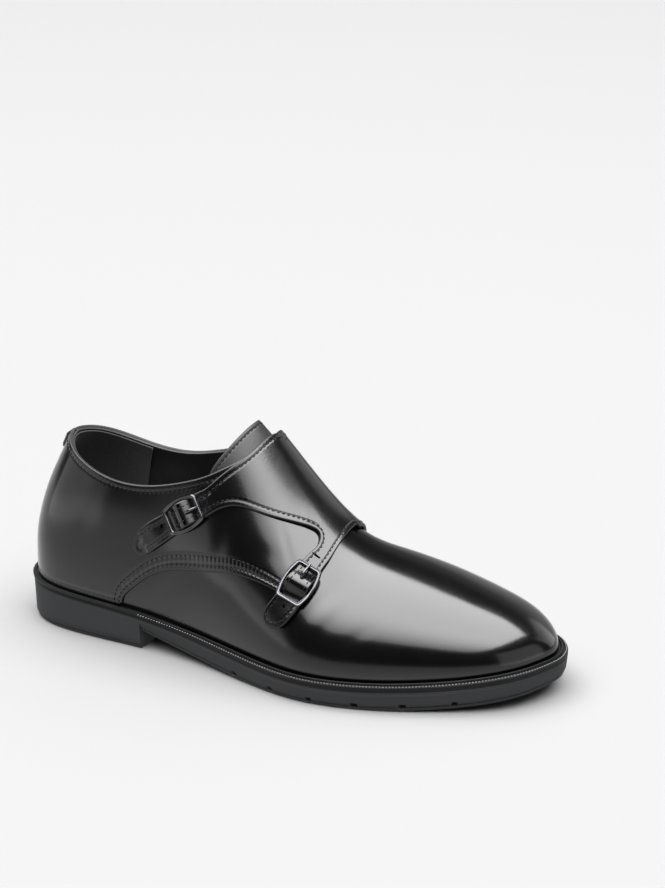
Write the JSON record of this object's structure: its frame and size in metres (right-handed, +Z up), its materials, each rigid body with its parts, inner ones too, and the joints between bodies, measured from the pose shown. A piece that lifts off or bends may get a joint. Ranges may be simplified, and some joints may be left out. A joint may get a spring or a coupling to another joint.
{
  "type": "monk strap shoe",
  "caption": "Black polished leather shoe for the right foot, closed by a wide flap with buckled straps on the outer side, on a one-piece rubber sole with a low heel",
  "frame": {"origin": "on the floor under the middle of the shoe's box", "axes": "+X to the toe, +Y to the inner side of the foot, +Z up"},
  "size_m": [0.299, 0.108, 0.1221],
  "materials": {
    "polished_leather": "polished",
    "strap_leather": "polished",
    "tongue_leather": "satin",
    "sock_lining": "matte",
    "rubber_sole": "matte",
    "welt_rubber": "satin",
    "gunmetal": "polished gunmetal"
  },
  "bodies": {
    "root": {"sole_unit": "rubber_sole", "welt": "welt_rubber", "insole": "sock_lining", "upper": "polished_leather", "tongue": "tongue_leather", "monk_quarter": "strap_leather", "heel_tab": "strap_leather", "buckle_upper": "gunmetal", "prong_upper": "gunmetal", "chape_upper": "strap_leather", "buckle_lower": "gunmetal", "prong_lower": "gunmetal", "chape_lower": "strap_leather"}
  },
  "joints": []
}
